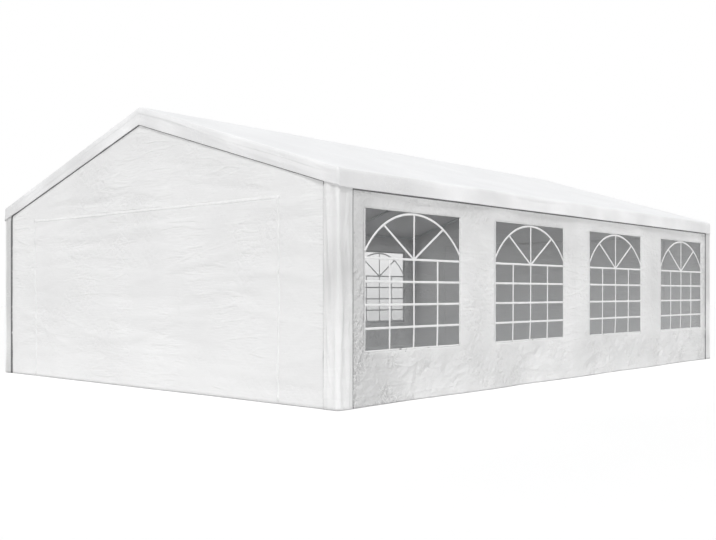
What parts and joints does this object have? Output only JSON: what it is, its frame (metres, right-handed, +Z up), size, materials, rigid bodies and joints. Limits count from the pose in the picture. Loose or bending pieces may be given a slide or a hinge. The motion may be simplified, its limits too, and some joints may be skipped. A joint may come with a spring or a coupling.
{
  "type": "marquee tent",
  "caption": "White marquee tent: gabled roof cover with valances on a plugged steel tube frame, walls with clear barred windows, and zipped gable curtains.",
  "frame": {"origin": "centre of the tent's footprint, at ground level", "axes": "+X across the tent, towards the right-hand side wall as seen facing the front; +Y along the tent, from the front gable to the rear gable; +Z up"},
  "size_m": [6, 8, 2.985],
  "materials": {
    "roof_sheeting": "white woven sheeting with a satin coating",
    "wall_sheeting": "white reinforced sheeting with a fine square grid and soft creases",
    "window_film": "clear flexible film, slightly grey",
    "window_bars": "white print and welded tape on the film",
    "dark_edging": "dark woven edge tape",
    "galvanised_steel": "galvanised tube, dull spangle"
  },
  "bodies": {
    "root": {"roof_cover": "roof_sheeting", "front_gable_wall": "wall_sheeting", "rear_gable_wall": "wall_sheeting", "front_door_curtain": "wall_sheeting", "rear_door_curtain": "wall_sheeting", "left_side_wall": "wall_sheeting", "right_side_wall": "wall_sheeting", "front_left_corner_cover": "wall_sheeting", "front_right_corner_cover": "wall_sheeting", "rear_left_corner_cover": "wall_sheeting", "rear_right_corner_cover": "wall_sheeting", "left_window_1": "window_film", "left_window_2": "window_film", "left_window_3": "window_film", "left_window_4": "window_film", "right_window_1": "window_film", "right_window_2": "window_film", "right_window_3": "window_film", "right_window_4": "window_film", "left_eave_rail": "galvanised_steel", "right_eave_rail": "galvanised_steel", "ridge_rail": "galvanised_steel", "left_leg_1": "galvanised_steel", "left_leg_2": "galvanised_steel", "left_leg_3": "galvanised_steel", "left_leg_4": "galvanised_steel", "left_leg_5": "galvanised_steel", "right_leg_1": "galvanised_steel", "right_leg_2": "galvanised_steel", "right_leg_3": "galvanised_steel", "right_leg_4": "galvanised_steel", "right_leg_5": "galvanised_steel", "left_rafter_1": "galvanised_steel", "left_rafter_2": "galvanised_steel", "left_rafter_3": "galvanised_steel", "left_rafter_4": "galvanised_steel", "left_rafter_5": "galvanised_steel", "right_rafter_1": "galvanised_steel", "right_rafter_2": "galvanised_steel", "right_rafter_3": "galvanised_steel", "right_rafter_4": "galvanised_steel", "right_rafter_5": "galvanised_steel"}
  },
  "joints": []
}
